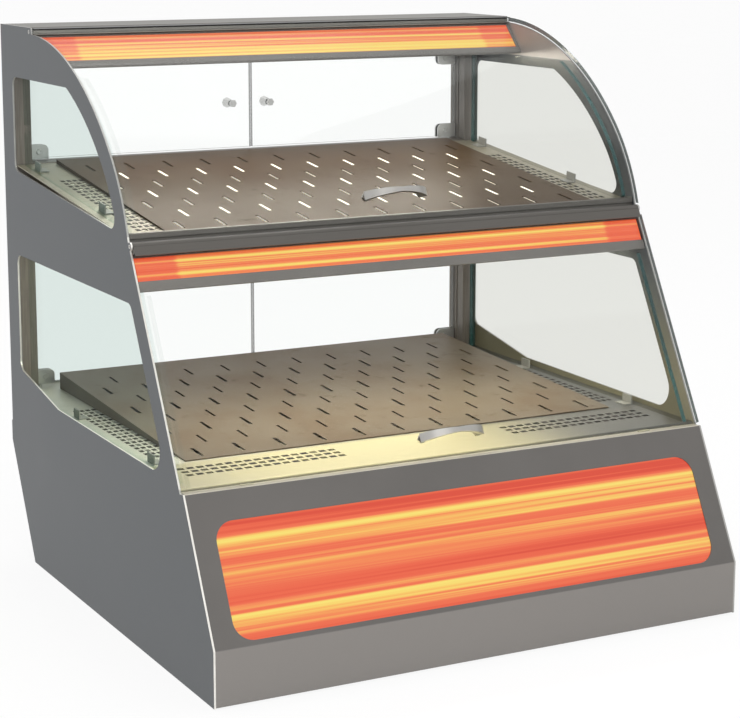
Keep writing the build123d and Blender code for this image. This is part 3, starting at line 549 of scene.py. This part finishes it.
def clear_glass(name, edges, tint, edge_tones, tinted=None):
    """The edges and the tinted area are functions that take the finish and give a weight."""
    finish = Finish(name)
    fresnel = finish.node("ShaderNodeFresnel", None, {"IOR": 1.45})
    smear = finish.noise(6, 4, 0.6).between(0.52, 0.85)
    ripple = finish.noise(3, 2)
    body = finish.clear(tint)
    if tinted:
        body = finish.mixed(tinted(finish), finish.clear((0.99, 0.995, 0.99)), body)
    skin = finish.principled(Base_Color=(0.9, 0.92, 0.92), Metallic=1.0, Roughness=smear * 0.06 + 0.02)
    face = finish.mixed(fresnel * 0.03 + smear * 0.006, body, skin)
    ground = finish.principled(
        Base_Color=finish.blend(ripple.between(0.35, 0.7), *edge_tones), Roughness=ripple * 0.1 + 0.2,
    )
    return finish.shade(finish.mixed(edges(finish), face, ground))


def glass_ends(finish):
    """The ends: the left one looks nearly clear, the right one shows the depth of the glass."""
    x, y, z = finish.parts(finish.place())
    return (x > half_width - end_face) * 0.9 + (x < end_face - half_width) * 0.05


def foot_and_ends(finish):
    """The ends, and the lower edge, which rests on the buffers."""
    across, along, up = finish.parts(finish.facing())
    x, y, z = finish.parts(finish.place())
    return glass_ends(finish).most((z < glass_foot) * (up < -0.2) * 0.6)


def front_rim(finish):
    """The front edge of a pane."""
    across, along, up = finish.parts(finish.facing())
    return (abs(across) < 0.5) * (along < -0.2)


def clear_rim(finish):
    """The front edge of a left pane, seen from outside through the pane itself."""
    return front_rim(finish) * 0.06


def both_rims(finish):
    """The front edge, and the line that the rear edge in the post's groove shows through."""
    x, y, z = finish.parts(finish.place())
    return (front_rim(finish) * 0.88).most((y > post_groove) * 0.75)


def door_rims(finish):
    across, along, up = finish.parts(finish.facing())
    return (abs(along) < 0.5) * 0.8


def behind_front(finish):
    """The pane more than about 34 mm behind the front line, which is straight and then two arcs."""
    x, y, z = finish.parts(finish.place())

    def inside(centre, radius):
        return radius - ((y - centre[0]) ** 2.0 + (z - centre[1]) ** 2.0) ** 0.5

    straight = (y - flat_foot[0]) * flat_slope[0] - (z - flat_foot[1]) * flat_slope[1]
    low_arc = inside(low_centre, low_radius) * (z > low_arc_foot) * (z < high_arc_foot)
    high_arc = inside(high_centre, high_radius) * (z > high_arc_foot)
    return (straight * (z < low_arc_foot) + low_arc + high_arc).between(*tint_start)


teal_edge = (ink(24, 62, 62), ink(62, 112, 108))
dark_edge = (ink(38, 52, 52), ink(78, 96, 94))
grey_edge = (ink(52, 52, 50), ink(92, 92, 88))
front_tint = (0.992, 0.996, 0.993)
wear(clear_glass("curved_glass", glass_ends, front_tint, dark_edge), "upper_front_glass")
wear(clear_glass("flat_glass", foot_and_ends, front_tint, dark_edge), "lower_front_glass")
# Painted reflection in the tints of the side panes.
left_glass = clear_glass("left_pane_glass", clear_rim, (0.86, 0.905, 0.89), dark_edge, behind_front)
right_glass = clear_glass("right_pane_glass", both_rims, (0.90, 0.90, 0.88), teal_edge)
door_glass = clear_glass("door_glass", door_rims, (0.995, 0.998, 0.996), grey_edge)
wear(left_glass, "lower_left_pane", "upper_left_pane")
wear(right_glass, "lower_right_pane", "upper_right_pane")
wear(door_glass, "lower_left_door", "lower_right_door", "upper_left_door", "upper_right_door")


# Glass pins
# Moulded white nylon pins carry both front glasses. They stand in the ears of the side sheets,
# and each has a small socket in the middle of its outer end, drawn as a black disc: painted shade.

pin_places = ((0.2485, 0.7875), (-0.1263, 0.5340))
socket_radius = 0.0013
pin_end = 0.3898


def nylon_pins():
    finish = Finish("nylon_pins")
    x, y, z = finish.parts(finish.place())
    cloud = finish.noise(60, 3)
    fine = finish.noise(900, 2)
    upper, lower = [
        ((y - depth) ** 2.0 + (z - height) ** 2.0) < socket_radius ** 2 for depth, height in pin_places
    ]
    tone = finish.blend(cloud, ink(216, 214, 206), ink(242, 240, 232))
    # Painted shade: a black disc for the socket in each pin's outer end.
    tone = finish.blend(upper.most(lower) * (abs(x) > pin_end), tone, ink(24, 24, 24))
    normal = finish.bump(fine, 0.00003, 0.3)
    return finish.shade(finish.principled(Base_Color=tone, Roughness=fine * 0.1 + 0.4, Normal=normal))


wear(nylon_pins(), "upper_glass_pins", "lower_glass_pins")


# Bow handles and door fittings
# Cast zinc with a bright chrome finish for the handles, and a duller one for the clamps and the
# knobs of the doors.

def chrome(name, colour, roughness):
    finish = Finish(name)
    cloud = finish.noise(18, 3)
    fine = finish.noise(420, 3)
    tone = finish.blend(cloud, scaled(colour, 0.86), colour)
    rough = fine * 0.08 + cloud * 0.04 + roughness
    normal = finish.bump(fine, 0.00002, 0.25)
    return finish.shade(finish.principled(Base_Color=tone, Roughness=rough, Metallic=1.0, Normal=normal))


bright = chrome("bright_chrome", ink(178, 176, 172), 0.24)
satin = chrome("satin_chrome", ink(200, 200, 198), 0.3)
wear(bright, "upper_glass_handle", "lower_glass_handle")
for level in ("lower", "upper"):
    wear(satin, f"{level}_left_door_fittings", f"{level}_right_door_fittings")


# Heater, fan and electrical parts
# A black oxide heating element, a grey motor, and dark moulded bodies for the switches,
# thermostats, driver and gland. The shelf's heating mat is faced with foil, which is given a glow:
# painted light that stands for the light of the shelf's tube that it throws up through the slots.

def moulded(name, colour, roughness=0.45, glow=0.0):
    finish = Finish(name)
    spark = finish.noise(1400, 2)
    cloud = finish.noise(12, 3)
    tone = finish.blend(spark * 0.4 + cloud * 0.4, colour, scaled(colour, 1.5, 0.006))
    return finish.shade(finish.principled(
        Base_Color=tone,
        Roughness=spark * 0.15 + roughness,
        Normal=finish.bump(spark, 0.00008, 0.35),
        Emission_Color=tone,
        Emission_Strength=glow,
    ))


wear(
    moulded("black_moulding", ink(34, 34, 36)),
    "cable_gland", "deck_heat_knob", "shelf_heat_knob", "power_rocker", "light_rocker",
    "switch_bodies", "thermostats", "lamp_driver",
)
# Painted light: the foil mat glows, though it is no lamp.
wear(moulded("foil_mat", ink(232, 226, 212), 0.5, 0.8), "shelf_heater")
wear(chrome("black_oxide", ink(70, 62, 58), 0.4), "deck_heater")
wear(enamel("motor_grey", ink(88, 90, 94), 0.4), "fan_motor")
wear(plated, "fan_wheel")


# Foot pads, glass buffers and pane clips
# Small mouldings: black rubber pads under the base pan, soft buffers on the front panel below
# the flat glass, and clear clips that hold the side panes upright.

wear(moulded("black_rubber", ink(28, 28, 28), 0.75), "foot_pads")
wear(moulded("clear_buffer", ink(168, 164, 142), 0.5), "glass_buffers")
wear(moulded("clear_clip", ink(122, 122, 117), 0.3), "pane_clips")


# Screws of the roof
# Plated pan head screws with a round recess, in pairs one above the other, hold the rear leg of
# the roof: one pair at each post and one at the middle.

def solid_from(name, build, material, body="cabinet"):
    """A piece from a function that fills a bmesh, with its material and body."""
    shape = bmesh.new()
    build(shape)
    bmesh.ops.recalc_face_normals(shape, faces=shape.faces)
    mesh = bpy.data.meshes.new(name)
    shape.to_mesh(mesh)
    shape.free()
    mesh.materials.append(material)
    piece = bpy.data.objects.new(name, mesh)
    bpy.context.scene.collection.objects.link(piece)
    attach(piece, body)
    return piece


def turned(shape, profile, place, facing, steps=24):
    """Spins a profile of (radius, height) points about an axis and sets it at the place."""
    turn = Vector((0, 0, 1)).rotation_difference(Vector(facing)).to_matrix().to_4x4()
    seat = Matrix.Translation(place) @ turn
    angles = [2 * pi * i / steps for i in range(steps)]
    rings = [
        [shape.verts.new(seat @ Vector((radius * cos(a), radius * sin(a), height))) for a in angles]
        for radius, height in profile
    ]
    for low, high in zip(rings, rings[1:]):
        for i in range(steps):
            following = (i + 1) % steps
            shape.faces.new((low[i], low[following], high[following], high[i]))
    shape.faces.new(rings[-1])
    shape.faces.new(list(reversed(rings[0])))


def screw_heads(places, facing, head):
    def build(shape):
        for place in places:
            turned(shape, head, place, facing)
    return build


pan_head = [
    (0.0037, 0), (0.0037, 0.0006), (0.0033, 0.0014), (0.0022, 0.0020), (0.0010, 0.0021),
    (0.0008, 0.0012), (0.0004, 0.0008),
]
roof_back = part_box("roof_panel")[1].y
roof_places = [(x, roof_back, z) for x in (-0.372, 0.0, 0.372) for z in (0.748, 0.782)]
solid_from("roof_screws", screw_heads(roof_places, (0, 1, 0), pan_head), satin)


# Screws of the door clamps
# One broad round screw clamps each fitting to its pane, with its head on the customer's side and
# a smaller one on the operator's side.

clamp_head = [
    (0.0046, 0), (0.0046, 0.0008), (0.0040, 0.0014), (0.0016, 0.0014), (0.0014, 0.0006),
    (0.0006, 0.0005),
]
clamp_across = 0.3440
clamp_front = 0.3525
clamp_rear = 0.3635
clamp_heights = {"lower": (0.2675, 0.5480), "upper": (0.6060, 0.7230)}
for level, heights in clamp_heights.items():
    for side, sign in (("left", -1), ("right", 1)):
        middle = sign * clamp_across
        body = f"{level}_{side}_rear_door"
        fronts = [(middle, clamp_front, height) for height in heights]
        rears = [(middle, clamp_rear, height) for height in heights]
        front_heads = screw_heads(fronts, (0, -1, 0), clamp_head)
        rear_heads = screw_heads(rears, (0, 1, 0), pan_head)
        solid_from(f"{level}_{side}_clamp_screws_front", front_heads, satin, body)
        solid_from(f"{level}_{side}_clamp_screws_rear", rear_heads, satin, body)


# Dial marks
# White ticks printed on the control face round each thermostat knob, over three quarters of a
# turn. Every second one is longer.

dial_places = [(x, 0.359, 0.224) for x in (-0.190, -0.130)]
tick_count = 11
tick_ring = 0.0185
tick_lengths = (0.0035, 0.002)
tick_half_width = 0.0004
print_height = 0.00012
dial_start, dial_sweep = 225, 270


def dial_ticks(shape):
    lift = Vector((0, print_height, 0))
    for centre in dial_places:
        for index in range(tick_count):
            angle = radians(dial_start - dial_sweep * index / (tick_count - 1))
            along = Vector((cos(angle), 0, sin(angle)))
            side = Vector((-sin(angle), 0, cos(angle))) * tick_half_width
            inner = Vector(centre) + along * tick_ring
            outer = inner + along * tick_lengths[index % 2]
            corners = (inner - side, outer - side, outer + side, inner + side)
            low = [shape.verts.new(corner) for corner in corners]
            high = [shape.verts.new(corner + lift) for corner in corners]
            shape.faces.new(high)
            for i in range(4):
                following = (i + 1) % 4
                shape.faces.new((low[i], low[following], high[following], high[i]))
            shape.faces.new(list(reversed(low)))


white_print = enamel("white_print", ink(226, 226, 222), 0.5)
solid_from("dial_ticks", dial_ticks, white_print)


# Floor and backdrop
# A pale floor that curves up far behind the case and reads as white, and a white surround. Rays
# that come straight from the eye, by a mirror or through glass see them at full strength.

floor_half_width = 9
floor_line = [(-9, 0), (5, 0), (6.2, 0.35), (6.9, 1.2), (7.1, 2.6), (7.1, 7.0)]
surround_strength = 0.75


def straight_rays(finish):
    kinds = ("Is Camera Ray", "Is Glossy Ray", "Is Transmission Ray")
    camera, glossy, through = [finish.node("ShaderNodeLightPath", output=kind) for kind in kinds]
    return camera.most(glossy).most(through)


def pale_ground():
    finish = Finish("pale_ground")
    mist = finish.noise(1.2, 2)
    tone = finish.blend(mist, ink(250, 250, 250), ink(254, 254, 254))
    matt = finish.principled(Base_Color=tone, Roughness=mist * 0.1 + 0.7)
    white = finish.node("ShaderNodeEmission", None, {"Color": (1, 1, 1, 1), "Strength": 1.0})
    return finish.shade(finish.mixed(straight_rays(finish) * 0.88, matt, white))


ground = bmesh.new()
rows = [[ground.verts.new((side * floor_half_width, y, z)) for y, z in floor_line] for side in (-1, 1)]
for i in range(len(floor_line) - 1):
    ground.faces.new((rows[0][i], rows[1][i], rows[1][i + 1], rows[0][i + 1]))
ground_mesh = bpy.data.meshes.new("floor")
ground.to_mesh(ground_mesh)
ground.free()
ground_mesh.materials.append(pale_ground())
floor = bpy.data.objects.new("floor", ground_mesh)
bpy.context.scene.collection.objects.link(floor)

surround = Finish("studio", "World")
strength = straight_rays(surround) * (1 - surround_strength) + surround_strength
white_air = {"Color": (1, 1, 1, 1), "Strength": strength}
bpy.context.scene.world = surround.shade(surround.node("ShaderNodeBackground", None, white_air))


# Lamps
# Two large soft lamps light the case from outside. Two long narrow ones stand for the light of
# the shelf's and the header's tubes.

def softbox(name, place, target, size, power, colour=(1, 1, 1)):
    lamp = bpy.data.lights.new(name, "AREA")
    lamp.shape = "RECTANGLE"
    lamp.size, lamp.size_y = size
    lamp.energy = power
    lamp.color = colour
    body = bpy.data.objects.new(name, lamp)
    body.location = place
    body.rotation_euler = (Vector(target) - Vector(place)).to_track_quat("-Z", "Y").to_euler()
    bpy.context.scene.collection.objects.link(body)


softbox("key_softbox", (-1.0, -3.2, 1.3), (0, 0, 0.35), (2.2, 1.4), 42)
softbox("top_softbox", (0.2, 0.6, 3.0), (0, 0, 0.3), (2.4, 2.4), 26)
softbox("shelf_lamp", (0, -0.085, 0.486), (0, -0.02, 0.25), (0.70, 0.03), 3.0, (1.0, 0.93, 0.74))
softbox("header_lamp", (0, 0.250, 0.734), (0, 0.10, 0.56), (0.68, 0.02), 1.6, (1.0, 0.93, 0.80))


# Camera
# The photograph's view, from the customer's side: the camera stands to the left, a little above
# the case, and looks down at it through a long lens.

camera_place = (-1.3394, -2.5997, 0.9442)
turn, tip = radians(27.6265), radians(10.3085)
view = bpy.data.cameras.new("photo_view")
view.lens = 101.967
view.sensor_width = 36
view.shift_y = -0.08
camera = bpy.data.objects.new("photo_view", view)
camera.location = camera_place
gaze = Vector((sin(turn) * cos(tip), cos(turn) * cos(tip), -sin(tip)))
camera.rotation_euler = gaze.to_track_quat("-Z", "Y").to_euler()
bpy.context.scene.collection.objects.link(camera)
bpy.context.scene.camera = camera
bpy.context.scene.view_settings.view_transform = "Standard"
